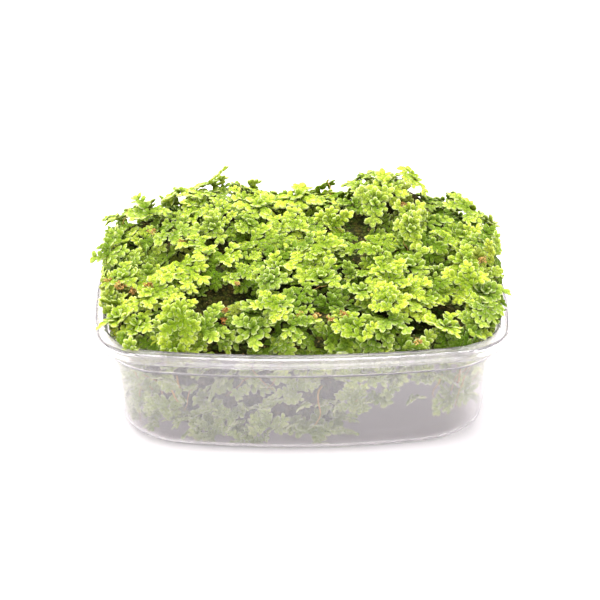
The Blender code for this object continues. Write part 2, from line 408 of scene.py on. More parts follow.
@dataclass(frozen=True)
class RootFinish(Finish):
    """Old roots and dead bits: tan, orange or brown, by their tone."""

    effects: SharedEffects
    name: str = "old_root"
    tan: Colour = (0.62, 0.42, 0.13)
    rust: Colour = (0.24, 0.085, 0.018)
    rot: Colour = (0.12, 0.045, 0.01)
    straw: Colour = (0.8, 0.6, 0.25)
    bump_depth: float = 0.2 * MM

    def build(self) -> bpy.types.Material:
        """Builds the material. It reads the tone from the growth attribute.

        Returns:
            The material.
        """
        material, bench, shader, place = self.start()
        tone = self.growth(bench)[2]
        mottle = self.effect(bench, self.effects.mottle, place, Scale=300.0)
        base = bench.blend(tone, self.tan, self.rust)
        base = bench.blend(bench.math("MULTIPLY", mottle.outputs["Patches"], 0.45), base, self.rot)
        looks = {
            "Base Color": bench.blend(mottle.outputs["Specks"], base, self.straw),
            "Roughness": 0.7,
            "Specular IOR Level": 0.1,
            "Normal": self.bumps(bench, mottle.outputs["Patches"], self.bump_depth, 0.6),
        }
        bench.feed(shader, looks)
        return material


@dataclass(frozen=True)
class PlasticFinish(Finish):
    """Thin clear plastic with a milky veil, faint waves and smears."""

    effects: SharedEffects
    name: str = "tub_plastic"
    body: Colour = (0.95, 0.925, 0.935)
    clear: float = 0.92
    ior: float = 1.49
    wave_depth: float = 1.2 * MM

    def build(self) -> bpy.types.Material:
        """Builds the material: plain transmission, roughened by smears and bent by waves.

        Returns:
            The material.
        """
        material, bench, shader, place = self.start()
        smears = self.effect(bench, self.effects.mottle, place, Scale=38.0)
        waves = bench.noise(place, 24.0, 1.0)
        smeared = tuple(0.985 * part for part in self.body)
        looks = {
            "Base Color": bench.blend(smears.outputs["Patches"], self.body, smeared),
            "Roughness": bench.math("MULTIPLY_ADD", smears.outputs["Patches"], 0.06, 0.09),
            "Transmission Weight": self.clear,
            "IOR": self.ior,
            "Normal": self.bumps(bench, waves, self.wave_depth, 0.25),
        }
        bench.feed(shader, looks)
        return material


@dataclass(frozen=True)
class PaperFinish(Finish):
    """White studio paper, very slightly uneven, with a faint painted glow that lightens the shadow under the
    tub.
    """

    effects: SharedEffects
    name: str = "studio_paper"
    sheet: Colour = (0.8, 0.765, 0.78)
    patch: Colour = (0.785, 0.75, 0.765)
    glow: float = 0.15

    def build(self) -> bpy.types.Material:
        """Builds the material.

        Returns:
            The material.
        """
        material, bench, shader, place = self.start()
        mottle = self.effect(bench, self.effects.mottle, place, Scale=20.0)
        looks = {
            "Base Color": bench.blend(mottle.outputs["Patches"], self.sheet, self.patch),
            "Roughness": 0.7,
            "Emission Color": (1.0, 0.97, 0.985, 1.0),
            "Emission Strength": self.glow,
        }
        bench.feed(shader, looks)
        return material


@dataclass(frozen=True)
class TubOutline:
    """The tub in plan: a rounded rectangle whose four sides bow outwards."""

    length: float = 142 * MM
    width: float = 104 * MM
    corner_radius: float = 13 * MM
    end_bow: float = 4.5 * MM
    front_bow: float = 7 * MM
    corner_steps: int = 14
    side_steps: int = 22
    settle_rounds: int = 6

    def flats(self, inset: Length) -> tuple[Length, Length]:
        """Half length and half width without the bows, this far in from the rim's outside."""
        return self.length / 2 - self.end_bow - inset, self.width / 2 - self.front_bow - inset

    def points(self) -> int:
        """How many points a ring has."""
        return 4 * (self.corner_steps + self.side_steps)

    def bowed(self, x: Length, y: Length, inset: Length) -> tuple[Length, Length]:
        """Bows a place on the plain rounded rectangle.

        Args:
            x: Place along the tub, a number or an array.
            y: Place across the tub.
            inset: How far in the outline lies.
        Returns:
            The bowed place.
        """
        flat_x, flat_y = self.flats(inset)
        wide = 1 + self.end_bow / flat_x * (1 - (y / flat_y) ** 2)
        deep = 1 + self.front_bow / flat_y * (1 - (x / flat_x) ** 2)
        return x * wide, y * deep

    def ring(self, inset: float) -> list[tuple[float, float]]:
        """Points round the tub, this far in from the rim's outside.

        Args:
            inset: How far in.
        Returns:
            The points, from the front right corner, seen from above against the clock.
        """
        flat_x, flat_y = self.flats(inset)
        core_x, core_y = flat_x - self.corner_radius, flat_y - self.corner_radius
        plain = []
        for side, (sign_x, sign_y) in enumerate(((1, -1), (1, 1), (-1, 1), (-1, -1))):
            middle = Vector((sign_x * core_x, sign_y * core_y))
            turn = side * pi / 2
            for step in range(self.corner_steps):
                angle = turn - pi / 2 + step / self.corner_steps * pi / 2
                plain.append(middle + self.corner_radius * Vector((cos(angle), sin(angle))))
            start = middle + self.corner_radius * Vector((cos(turn), sin(turn)))
            end = start.copy()
            end[(side + 1) % 2] *= -1
            plain += [start.lerp(end, step / self.side_steps) for step in range(self.side_steps)]
        return [self.bowed(x, y, inset) for x, y in plain]

    def pull_inside(self, points: np.ndarray, inset: np.ndarray) -> np.ndarray:
        """Moves points that lie outside the outline on to it.

        Args:
            points: Places as rows of x, y and z.
            inset: For each point, how far in its outline lies.
        Returns:
            The places, with x and y moved where need be.
        """
        flat_x, flat_y = self.flats(inset)
        y = points[:, 1]
        for _ in range(self.settle_rounds):
            wide = 1 + self.end_bow / flat_x * (1 - np.clip(y / flat_y, -1, 1) ** 2)
            x = points[:, 0] / wide
            deep = 1 + self.front_bow / flat_y * (1 - np.clip(x / flat_x, -1, 1) ** 2)
            y = points[:, 1] / deep
        core_x = np.clip(x, self.corner_radius - flat_x, flat_x - self.corner_radius)
        core_y = np.clip(y, self.corner_radius - flat_y, flat_y - self.corner_radius)
        out = np.hypot(x - core_x, y - core_y)
        share = np.minimum(1.0, self.corner_radius / np.maximum(out, 1e-9))
        x, y = core_x + (x - core_x) * share, core_y + (y - core_y) * share
        moved = points.copy()
        outside = share < 1
        bowed_x, bowed_y = self.bowed(x, y, inset)
        moved[outside, 0] = bowed_x[outside]
        moved[outside, 1] = bowed_y[outside]
        return moved


@dataclass
class Tub:
    """The clear tub: floor with a raised panel, foot, wall, ledge, lip with a bead, and skirt."""

    finish: PlasticFinish
    outline: TubOutline = field(default_factory=TubOutline)
    wall: float = 0.8 * MM
    height: float = 40 * MM
    floor_inset: float = 14 * MM
    foot_radius: float = 5.6 * MM
    foot_steps: int = 8
    foot_reach: float = 0.92
    wall_steps: int = 8
    lip_inset: float = 3.7 * MM
    panel: tuple[tuple[float, float], ...] = (
        (24, 1.3), (20.6, 1.3), (20.0, 1.2), (18.8, 0.9), (18.2, 0.8),
    )
    upper: tuple[tuple[float, float], ...] = (
        (5.55, 29.4), (5.3, 30.8), (5.05, 31.3), (4.6, 31.55), (4.35, 31.75), (4.22, 32.1), (4.1, 34.6),
        (3.9, 38.4), (3.8, 39.3), (3.62, 39.75), (3.2, 40.0), (2.4, 39.86), (1.6, 39.8), (1.0, 39.9),
        (0.6, 40.0), (0.2, 39.85), (0.02, 39.45), (0.2, 39.0), (0.5, 38.5), (0.55, 38.2), (0.4, 37.85),
        (0.05, 37.3), (0.0, 36.8), (0.1, 36.2),
    )

    def section(self) -> list[tuple[float, float]]:
        """Works out the inner and upper side of the wall.

        Returns:
            Insets and heights, from the floor's middle to the skirt's lower edge.
        """
        places = [(inset * MM, rise * MM) for inset, rise in self.panel]
        for step in range(self.foot_steps + 1):
            angle = step / self.foot_steps * pi / 2 * self.foot_reach
            out = self.floor_inset - self.foot_radius * sin(angle)
            places.append((out, self.wall + self.foot_radius * (1 - cos(angle))))
        top_inset, top_rise = places[-1]
        first_inset, first_rise = (part * MM for part in self.upper[0])
        for step in range(1, self.wall_steps):
            share = step / self.wall_steps
            out = top_inset + (first_inset - top_inset) * share
            places.append((out, top_rise + (first_rise - top_rise) * share))
        return places + [(inset * MM, rise * MM) for inset, rise in self.upper]

    def inner_inset(self, height: np.ndarray, clearance: float) -> np.ndarray:
        """How far in the wall's inner side lies at each height, with a clearance added."""
        places = [place for place in self.section() if place[0] > self.lip_inset]
        return np.interp(height, [rise for _, rise in places], [inset for inset, _ in places]) + clearance

    def ring_at(self, height: float, depth: float) -> list[tuple[float, float]]:
        """Points round the tub at a height, this far inside its wall."""
        return self.outline.ring(float(self.inner_inset(np.array([height]), 0.0)[0]) + depth)

    def keep_inside(self, points: np.ndarray, clearance: float = 0.5 * MM) -> np.ndarray:
        """Presses what would stick through the floor, the wall or the lip back into the tub.

        Args:
            points: Places as rows of x, y and z.
            clearance: Distance kept from the plastic.
        Returns:
            The places, moved where need be.
        """
        moved = points.copy()
        moved[:, 2] = np.maximum(moved[:, 2], self.wall + 0.5 * MM + clearance)
        low = moved[:, 2] < self.height + clearance
        inset = self.inner_inset(moved[low, 2], clearance)
        moved[low] = self.outline.pull_inside(moved[low], inset)
        return moved

    def build(self) -> bpy.types.Object:
        """Makes the tub from one capped ring that is extruded up the wall and over the lip.

        Returns:
            The tub.
        """
        shape = bmesh.new()
        bmesh.ops.create_circle(shape, cap_ends=True, segments=self.outline.points(), radius=1.0)
        shape.verts.ensure_lookup_table()
        verts = list(shape.verts)
        edges = list(shape.edges)
        for number, (inset, rise) in enumerate(self.section()):
            if number:
                fresh, edges = extrude_rim(shape, edges)
                verts = [self.beside(vert, fresh) for vert in verts]
            for vert, (x, y) in zip(verts, self.outline.ring(inset)):
                vert.co = (x, y, rise)
        bmesh.ops.recalc_face_normals(shape, faces=shape.faces)
        tub = place_shape("clear_tub", shape, self.finish.build())
        shell = tub.modifiers.new("wall", "SOLIDIFY")
        shell.thickness = self.wall
        shell.offset = self.side(tub.data)
        shell.use_even_offset = True
        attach(tub, ROOT)
        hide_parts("tub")
        return tub

    @staticmethod
    def beside(vert: bmesh.types.BMVert, fresh: set[bmesh.types.BMVert]) -> bmesh.types.BMVert:
        """The fresh vertex that is joined to this one."""
        return next(edge.other_vert(vert) for edge in vert.link_edges if edge.other_vert(vert) in fresh)

    @staticmethod
    def side(mesh: bpy.types.Mesh) -> float:
        """Solidify's offset that puts the thickness under the floor, whichever way the faces look."""
        lowest = min(mesh.polygons, key=lambda face: face.center.z)
        return -1.0 if lowest.normal.z > 0 else 1.0


def extrude_rim(
    shape: bmesh.types.BMesh, edges: list[bmesh.types.BMEdge]
) -> tuple[set[bmesh.types.BMVert], list[bmesh.types.BMEdge]]:
    """Extrudes an open rim, without moving it.

    Args:
        shape: The shape.
        edges: The rim's edges.
    Returns:
        The new rim's vertices and edges.
    """
    made = bmesh.ops.extrude_edge_only(shape, edges=edges)["geom"]
    verts = {part for part in made if isinstance(part, bmesh.types.BMVert)}
    return verts, [part for part in made if isinstance(part, bmesh.types.BMEdge) and part.is_boundary]


def place_shape(name: str, shape: bmesh.types.BMesh, finish: bpy.types.Material) -> bpy.types.Object:
    """Turns a bmesh into a smooth object of the scene.

    Args:
        name: The piece's name.
        shape: Its shape, which is used up.
        finish: Its material.
    Returns:
        The object.
    """
    mesh = bpy.data.meshes.new(name)
    shape.to_mesh(mesh)
    shape.free()
    mesh.materials.append(finish)
    mesh.shade_smooth()
    piece = bpy.data.objects.new(name, mesh)
    bpy.context.scene.collection.objects.link(piece)
    return piece


@dataclass(eq=False)
class Pattern:
    """A small shape that is repeated: its points, its triangles and what they say about growth."""

    points: np.ndarray
    triangles: np.ndarray
    growth: np.ndarray
    span: float

    @classmethod
    def of(cls, shape: bmesh.types.BMesh) -> "Pattern":
        """Reads a bmesh that carries the growth layer.

        Args:
            shape: The shape, which is used up.
        Returns:
            The pattern.
        """
        bmesh.ops.triangulate(shape, faces=shape.faces)
        layer = shape.verts.layers.float_color[GROWTH]
        shape.verts.index_update()
        points = np.array([vert.co[:] for vert in shape.verts])
        triangles = np.array([[vert.index for vert in face.verts] for face in shape.faces])
        growth = np.array([vert[layer][:] for vert in shape.verts])
        shape.free()
        size = points[:, :2].max(axis=0) - points[:, :2].min(axis=0)
        middle = (points[:, :2].max(axis=0) + points[:, :2].min(axis=0)) / 2
        points[:, :2] -= middle
        return cls(points, triangles, growth, float(size.max()))


@dataclass(eq=False)
class Seat:
    """Where one repeated shape lies, and how it looks there."""

    pattern: Pattern
    middle: Vector
    facing: Vector
    stem: Vector
    span: float
    tone: float = 0.5
    age: float = 0.0
    # Painted light: scales the pale tips and margins; less of it deepens the painted shade at the plant's
    # middle.
    painted_light: float = 1.0
    node: str = ""

    def placed(self) -> np.ndarray:
        """Places the pattern.

        Returns:
            Its points at this seat, as rows of x, y and z.
        """
        side = unit(self.facing.cross(self.stem))
        stem = side.cross(self.facing)
        turn = np.array([stem[:], side[:], self.facing[:]])
        return self.pattern.points @ turn * (self.span / self.pattern.span) + np.array(self.middle[:])


@dataclass
class Clump:
    """One piece of many repeated shapes, joined into one mesh."""

    name: str
    finish: bpy.types.Material
    slot: str
    seats: list[Seat] = field(default_factory=list)

    def build(self, tub: Tub) -> bpy.types.Object:
        """Joins the shapes and presses them into the tub where they would stick out of it.

        Args:
            tub: The tub that holds them.
        Returns:
            The clump.
        """
        points, triangles, growth = [], [], []
        start = 0
        for seat in self.seats:
            points.append(seat.placed())
            triangles.append(seat.pattern.triangles + start)
            look = seat.pattern.growth.copy()
            # The seat's painted light scales the margin and outward shares.
            look[:, :2] = np.clip(look[:, :2] * seat.painted_light, 0, 1)
            look[:, 2] = np.clip(look[:, 2] + seat.tone, 0, 1)
            look[:, 3] = seat.age
            growth.append(look)
            start += len(seat.pattern.points)
        mesh = bpy.data.meshes.new(self.name)
        corners = np.concatenate(triangles)
        places = tub.keep_inside(np.concatenate(points))
        mesh.vertices.add(len(places))
        mesh.vertices.foreach_set("co", places.astype(np.float32).ravel())
        mesh.loops.add(corners.size)
        mesh.loops.foreach_set("vertex_index", corners.astype(np.int32).ravel())
        mesh.polygons.add(len(corners))
        mesh.polygons.foreach_set("loop_start", np.arange(0, corners.size, 3, dtype=np.int32))
        layer = mesh.attributes.new(GROWTH, "FLOAT_COLOR", "POINT")
        layer.data.foreach_set("color", np.concatenate(growth).astype(np.float32).ravel())
        mesh.update(calc_edges=True)
        mesh.shade_smooth()
        mesh.materials.append(self.finish)
        piece = bpy.data.objects.new(self.name, mesh)
        bpy.context.scene.collection.objects.link(piece)
        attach(piece, ROOT)
        nodes = [seat.node for seat in self.seats if seat.node]
        if nodes:
            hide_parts(*nodes)
        return piece


class Habit(Enum):
    """How one plant has grown."""

    FROND = "frond"
    FAN = "fan"
    ROSETTE = "rosette"
    SPRIG = "sprig"


@dataclass
class Plant:
    """One plant, made of rounded lobes on branches. Its sizes are in millimetres until it is a pattern."""

    habit: Habit
    seed: int
    lobe_length: float = 3.5
    lobe_width: float = 2.25
    lobe_depth: float = 1.0
    lobe_sides: int = 7
    lobe_rings: int = 4
    node_step: float = 2.6
    pair_step: float = 2.1
    wave: float = 1.3
    wave_length: float = 6.0

    def __post_init__(self) -> None:
        """Starts the plant's shape and its own random numbers."""
        self.draw = Random(self.seed)
        self.shape = bmesh.new()
        self.layer = self.shape.verts.layers.float_color.new(GROWTH)
        self.cup = self.draw.uniform(0.6, 2.6)

    def lobe(self, start: Vector, heading: float, size: float = 1.0, rise: float = 0.0) -> None:
        """Adds one lobe: narrow at its start, broad and round at its end.

        Args:
            start: Where it leaves the branch.
            heading: Its direction in plan.
            size: Its size beside the usual one.
            rise: How steeply its end rises.
        """
        draw = self.draw
        length = self.lobe_length * size * draw.uniform(0.86, 1.14)
        width = self.lobe_width * size * draw.uniform(0.88, 1.12)
        tone = draw.uniform(-0.12, 0.12)
        curl = draw.uniform(-0.5, 0.35)
        sizes = {"u_segments": self.lobe_sides, "v_segments": self.lobe_rings, "radius": 1.0}
        made = bmesh.ops.create_uvsphere(self.shape, **sizes)["verts"]
        for vert in made:
            x, y, z = vert.co
            edge = smooth_share(hypot(x, y), 0.72, 1.0) * smooth_share(x, -0.8, 0.1)
            along = (1 + x) / 2
            broad = 0.66 + 0.34 * min(1.0, 1.7 * along)
            depth = self.lobe_depth * (0.5 if z > 0 else 0.35)
            vert.co = (length * along, width / 2 * y * broad, depth * z + curl * along * along)
            vert[self.layer] = (edge, along, tone, 0.0)
        turn = Matrix.Rotation(heading, 4, "Z") @ Matrix.Rotation(-rise, 4, "Y")
        roll = Matrix.Rotation(draw.uniform(-0.3, 0.3), 4, "X")
        bmesh.ops.transform(self.shape, matrix=Matrix.Translation(start) @ turn @ roll, verts=made)

    def branch(
        self, start: Vector, heading: float, pairs: int, rise: float = 0.0, size: float = 1.0
    ) -> None:
        """Adds a branch: pairs of lobes along it and one lobe at its end.

        Args:
            start: Where it leaves the stem.
            heading: Its direction in plan.
            pairs: How many pairs of lobes it has.
            rise: How steeply it rises.
            size: Its size beside the usual one.
        """
        draw = self.draw
        place = start.copy()
        step = self.pair_step * size
        for number in range(pairs + 1):
            heading += radians(draw.uniform(-7, 7))
            ahead = Vector((cos(heading), sin(heading), sin(rise)))
            self.lobe(place - 0.4 * step * ahead, heading, size, rise + radians(draw.uniform(-6, 6)))
            if number == pairs:
                break
            place = place + step * ahead * draw.uniform(0.9, 1.1)
            for side in (-1, 1):
                turn = side * radians(draw.uniform(44, 62))
                back = place - step * ahead * draw.uniform(0.25, 0.6)
                part = size * draw.uniform(0.86, 1.0)
                self.lobe(back, heading + turn, part, rise + radians(draw.uniform(-6, 16)))

    def frond(self) -> None:
        """One stem with branches left and right in turn, longest below its middle."""
        draw = self.draw
        place = Vector((0, 0, 0))
        heading = 0.0
        side = draw.choice((-1, 1))
        for pairs in (3, 3, 2, 2, 1):
            self.lobe(place, heading, 1.05)
            out = heading + side * radians(draw.uniform(50, 66))
            away = Vector((cos(out), sin(out), 0))
            rise = radians(draw.uniform(-8, 26))
            self.branch(place + 0.9 * away, out, pairs, rise, draw.uniform(0.88, 1.05))
            heading += radians(draw.uniform(-9, 9))
            place = place + self.node_step * Vector((cos(heading), sin(heading), draw.uniform(-0.06, 0.08)))
            side = -side
        self.branch(place, heading, 1)

    def fan(self) -> None:
        """Three long branches from one end with two short ones beside them, like the fingers of a hand."""
        draw = self.draw
        for share, pairs in ((0.0, 4), (-0.52, 3), (0.52, 3), (-1.0, 2), (1.0, 2)):
            heading = radians(112 * share + draw.uniform(-7, 7))
            start = Vector((0.8 - 0.6 * abs(share), 1.3 * share, draw.uniform(0, 0.6)))
            self.branch(start, heading, pairs, radians(draw.uniform(-8, 24)), draw.uniform(0.9, 1.06))

    def rosette(self) -> None:
        """Short branches all round a crown of small upright lobes."""
        draw = self.draw
        for number in range(6):
            heading = 2 * pi * number / 6 + radians(draw.uniform(-9, 9))
            start = 1.3 * Vector((cos(heading), sin(heading), 0.3 * (number % 2)))
            rise = radians(draw.uniform(-6, 26))
            self.branch(start, heading, 1 + number % 2, rise, draw.uniform(0.9, 1.1))
        for number in range(4):
            heading = 2 * pi * number / 4 + draw.uniform(0, 1)
            self.lobe(Vector((0, 0, 0.5)), heading, 0.8, radians(draw.uniform(24, 60)))

    def sprig(self) -> None:
        """A broken-off tip: one branch with a shorter one beside it."""
        draw = self.draw
        self.branch(Vector((0, 0, 0)), 0.0, 3)
        side = draw.choice((-1, 1))
        heading = side * radians(draw.uniform(48, 66))
        self.branch(Vector((1.4, 0, 0)), heading, 1, radians(draw.uniform(-5, 10)), 0.9)

    def pattern(self) -> Pattern:
        """Grows the plant and cups it, with its middle raised.

        Returns:
            The plant as a pattern, in metres.
        """
        grow = {
            Habit.FROND: self.frond,
            Habit.FAN: self.fan,
            Habit.ROSETTE: self.rosette,
            Habit.SPRIG: self.sprig,
        }
        grow[self.habit]()
        verts = list(self.shape.verts)
        middle = sum((vert.co for vert in verts), Vector()) / len(verts)
        reach = max((vert.co - middle).xy.length for vert in verts)
        for vert in verts:
            out = (vert.co - middle).xy.length / reach
            x, y = vert.co.x / self.wave_length, vert.co.y / self.wave_length
            wave = noise.noise(Vector((x, y, self.seed * 3.7)))
            vert.co.z += self.cup * (0.5 - out * out) + self.wave * wave
            edge, along, tone, _ = vert[self.layer]
            vert[self.layer] = (edge, min(1.0, 0.35 * along + 0.75 * out * out), tone, 0.0)
        bmesh.ops.scale(self.shape, vec=(MM, MM, MM), verts=verts)
        return Pattern.of(self.shape)


@dataclass
class PlantStock:
    """The few plants that the whole heap is made of, several of each habit."""

    counts: dict[Habit, int] = field(
        default_factory=lambda: {Habit.FROND: 5, Habit.FAN: 4, Habit.ROSETTE: 4, Habit.SPRIG: 4}
    )
    patterns: dict[Habit, list[Pattern]] = field(default_factory=dict)

    def __post_init__(self) -> None:
        """Grows the plants."""
        for order, (habit, count) in enumerate(self.counts.items()):
            self.patterns[habit] = [Plant(habit, 100 * order + number).pattern() for number in range(count)]

    def pick(self, draw: Random, shares: dict[Habit, float]) -> Pattern:
        """Draws a plant's pattern, where the shares say how often each habit is wanted."""
        habit = draw.choices(list(shares), list(shares.values()))[0]
        return draw.choice(self.patterns[habit])


@dataclass(frozen=True)
class Spot:
    """A place with something of its own, in millimetres.

    It is a hollow, a patch of colour or age, a patch of dead bits, or a root whose length is the radius.
    """

    x: float
    y: float
    z: float
    radius: float
    value: float = 0.0

    def middle(self) -> Vector:
        """The spot's place, in metres."""
        return Vector((self.x, self.y, self.z)) * MM

    def nearness(self, place: Vector) -> float:
        """1 at the spot's middle, falling softly to 0 away from it."""
        return SOFT_FALL ** (-((place - self.middle()).length / (self.radius * MM)) ** 2)


@dataclass(frozen=True)
class Layer:
    """One layer of plants on the mat.

    Attributes:
        spacing: Least distance between two plants.
        low: Lowest place over the mat, and high the highest.
        lean: How far the plants turn to the front, and slant how far at random.
        painted_shade: What is taken from their tone, painted shade for a lower layer.
        painted_light: Painted light on their tips and margins, which makes them paler; low for the shaded
            lower layer.
        tries: How often a place is drawn.
        among_nodes: Whether they keep their distance from the plants that are laid already.
    """

    spacing: float
    low: float
    high: float
    lean: float
    slant: float = 0.6
    painted_shade: float = 0.0
    painted_light: float = 1.0
    tries: int = 3000
    among_nodes: bool = False


@dataclass(frozen=True)
class Stack:
    """Level fans that lie over one another like shelves, the lowest first. In millimetres."""

    start: tuple[float, float, float]
    step: tuple[float, float, float]
    count: int
    tone: float

    def middle(self, number: int) -> Vector:
        """Place of one fan, in metres."""
        return (Vector(self.start) + number * Vector(self.step)) * MM


@dataclass(frozen=True)
class Band:
    """One band of plants round the inside of the wall.

    Attributes:
        low: Lowest place, and high the highest.
        spacing: Least distance between two plants.
        depth: Least and greatest distance from the wall.
        size: Least and greatest size beside the usual one.
        tries: How often a place is drawn.
        on_edge: Share of the plants that show only their edges.
        look_up: How far the plants turn upwards.
    """

    low: float
    high: float
    spacing: float
    depth: tuple[float, float]
    size: tuple[float, float]
    tries: int
    on_edge: float = 0.0
    look_up: float = 0.25


@dataclass(frozen=True)
class EmptyCorner:
    """The front right corner of the floor, which no fern reaches. In millimetres."""

    height: float = 13.0
    start: tuple[float, float] = (10, 22)
    fall: float = 6.0
    falling: tuple[float, float] = (42, 58)
    behind: float = 34.0
    top: tuple[float, float] = (16, 30)
    shift: tuple[float, float, float] = (-4, 24, 10)

    def height_at(self, place: Vector) -> float:
        """Works out how much height is kept free.

        Args:
            place: The place in plan.
        Returns:
            The height, in metres.
        """
        rise = self.height * smooth_share(place.x / MM, *self.start)
        rise -= self.fall * smooth_share(place.x / MM, *self.falling)
        return rise * MM * smooth_share(-place.y / MM, -self.behind, 0.0)

    def push(self, place: Vector) -> Vector:
        """Works out how far the inside of the heap is pushed out of the corner.

        Args:
            place: The place on the inside.
        Returns:
            The shift, in metres.
        """
        share = self.height_at(place) / (self.height * MM)
        share *= smooth_share(-place.z / MM, -self.top[1], -self.top[0])
        return share * Vector(self.shift) * MM


@dataclass
class Heap:
    """The fern: plants heaped on the CAD mat, plants inside the wall, and the tangle within, dark with
    painted shade.

    Attributes:
        relief: How far the plants on the mat swell up and sink in, and relief_length how broadly.
        rim: Height over which the mat's faces carry plants.
        shade: Height under which the fern gets the paler copy of its finish, painted light for the fronds
            seen through the wall.
        front_edge: Where the front clumps end, and back_edge where the back ones start.
        gap_reach: How far a plant's middle stays from a gap.
        core: Height of the heap's middle, which the plants look away from.
        usual_tone: The fern's tone away from every spot, and tone_spread how much it varies.
        usual_painted_light: Painted light that makes the tips paler, and top_painted_light what the heap's
            top adds to it.
        sight: Direction towards the camera, and its steps and width when a surface is looked for.
        ends: Limits of the plants along the tub at its front, and ends_behind what the back adds.
        sides: Limits of the plants across the tub. Both limits are in millimetres.
        corner: The corner that is kept free.
        least_height: Lowest place of a plant inside the wall.
        tangle_depths: How deep the tangle lies in the mat, over the rim and under it.
        tangle_gap: How much deeper it lies at a gap.
        tangle_lumps: How lumpy it is, and tangle_lump_length how broadly.
        crest: Highest tips along the tub, as places and heights in millimetres.
        gaps: Dark hollows. Their value isn't used.
        tones: Patches of yellower or greener fern.
        aged: Patches of browning fern.
    """

    frame: dict
    tub: Tub
    stock: PlantStock
    effects: SharedEffects
    seed: int = 5
    relief: float = 6.0 * MM
    relief_length: float = 13 * MM
    rim: float = 41 * MM
    shade: float = 36 * MM
    front_edge: float = -22 * MM
    back_edge: float = 18 * MM
    gap_reach: float = 6.0 * MM
    core: float = 25 * MM
    usual_tone: float = 0.45
    tone_spread: float = 0.42
    usual_painted_light: float = 0.94
    top_painted_light: float = 0.46
    painted_light_heights: tuple[float, float] = (50 * MM, 66 * MM)
    sight: tuple[float, float, float] = (0, -2.05, 1)
    sight_steps: int = 16
    sight_step: float = 0.5 * MM
    sight_width: float = 1.2 * MM
    ends: tuple[float, float] = (-68.8, 69.6)
    ends_behind: tuple[float, float] = (-1.5, 2.5)
    sides: tuple[float, float] = (-47.9, 52.5)
    corner: EmptyCorner = EmptyCorner()
    least_height: float = 4 * MM
    tangle_depths: tuple[float, float] = (3.2 * MM, 5.0 * MM)
    tangle_gap: float = 6 * MM
    tangle_lumps: float = 1.8 * MM
    tangle_lump_length: float = 5 * MM
    layers: tuple[Layer, ...] = (
        Layer(spacing=9.4 * MM, low=1.2 * MM, high=4.8 * MM, lean=0.55, among_nodes=True),
        # The lower layer gets painted shade: a duller tone and less painted light.
        Layer(spacing=8.0 * MM, low=-2.0 * MM, high=0.2 * MM, lean=0.25, painted_shade=0.35, painted_light=0.45),
    )
    bands: tuple[Band, ...] = (
        Band(37 * MM, 43 * MM, 7.0 * MM, (3 * MM, 6 * MM), (0.85, 1.0), tries=700, look_up=0.8),
        Band(6 * MM, 37 * MM, 7.4 * MM, (3 * MM, 6.5 * MM), (0.8, 1.1), tries=1500, on_edge=0.1),
        Band(4 * MM, 37 * MM, 5.9 * MM, (0.9 * MM, 3 * MM), (0.65, 1.0), tries=2600, on_edge=0.6),
    )
    stacks: tuple[Stack, ...] = (
        Stack((41, -27.5, 47.5), (-2.6, 2.2, 1.3), 6, 0.85),
        Stack((27, -25, 48.5), (1.5, 3.4, 1.0), 3, 0.7),
        Stack((-49, -25, 48.5), (2.6, 2.8, 1.1), 5, 0.75),
        Stack((3, -12, 53), (2.0, 3.4, 0.9), 4, 0.65),
        Stack((-12, 4, 55), (3.2, 2.6, 0.9), 4, 0.6),
    )
    crest: tuple[tuple[float, float], ...] = (
        (-71, 47), (-64, 49), (-58, 54), (-47, 58), (-40, 61), (-26, 66), (-10, 62), (10, 62.5),
        (17, 67), (33, 71.5), (42, 66), (48, 59.5), (62, 56), (71, 50),
    )
    gaps: tuple[Spot, ...] = (
        Spot(-31, 5, 53, 3.5),
        Spot(13.5, -36, 48, 1.5),
        Spot(36, -32, 45, 3.0),
        Spot(43, -29, 44.6, 2.5),
        Spot(53.6, -22, 46, 3.0),
        Spot(-32.6, -43.5, 44, 2.0),
        Spot(-13.8, -46.8, 41.6, 1.0),
        Spot(-30.4, -22, 47, 2.0),
        Spot(-57.8, -33, 44.5, 1.5),
        Spot(-41.6, -2, 52, 1.5),
        Spot(23.4, 6, 56, 2.0),
        Spot(3, -4, 52.5, 1.5),
    )
    tones: tuple[Spot, ...] = (
        Spot(5.4, -36, 47, 9, 0.4),
        Spot(-26, -7, 52, 10, 0.3),
        Spot(-44, -23, 48, 10, 0.3),
        Spot(27, -26, 48, 10, 0.3),
        Spot(46, -19, 48.5, 9, 0.35),
        Spot(61.5, -5, 47, 9, 0.3),
        Spot(18, -42, 46, 7, 0.3),
        Spot(-51, -22, 47.5, 8, 0.2),
        Spot(-61, -27, 45.5, 8, 0.15),
        Spot(-22.5, -42, 45, 7, -0.45),
        Spot(22, -46, 42, 6, -0.35),
        Spot(-4.2, -22, 47.7, 8, -0.4),
        Spot(-5, -46.5, 42.5, 5, -0.2),
        Spot(0, 34, 62, 30, 0.25),
    )
    aged: tuple[Spot, ...] = (
        Spot(-62, -11, 48, 7, 0.5),
        Spot(-26, -37, 49, 6, 0.5),
        Spot(9, -38, 48, 6, 0.4),
        Spot(63, 4, 50, 7, 0.35),
        Spot(-42, 10, 56, 7, 0.3),
        Spot(37, 19, 62, 6, 0.35),
    )

    def __post_init__(self) -> None:
        """Reads the CAD mat: its faces above the rim, for plants to lie on."""
        self.draw = Random(self.seed)
        shape = bmesh.new()
        shape.from_mesh(self.frame["nodes"]["fern_mat"].data)
        bmesh.ops.remove_doubles(shape, verts=shape.verts, dist=0.01 * MM)
        bmesh.ops.triangulate(shape, faces=shape.faces)
        self.mat = shape
        self.faces = [face for face in shape.faces if face.calc_center_median().z > self.rim]
        self.areas = [face.calc_area() for face in self.faces]
        self.seats: list[Seat] = []
        self.cloud = np.empty((0, 3))

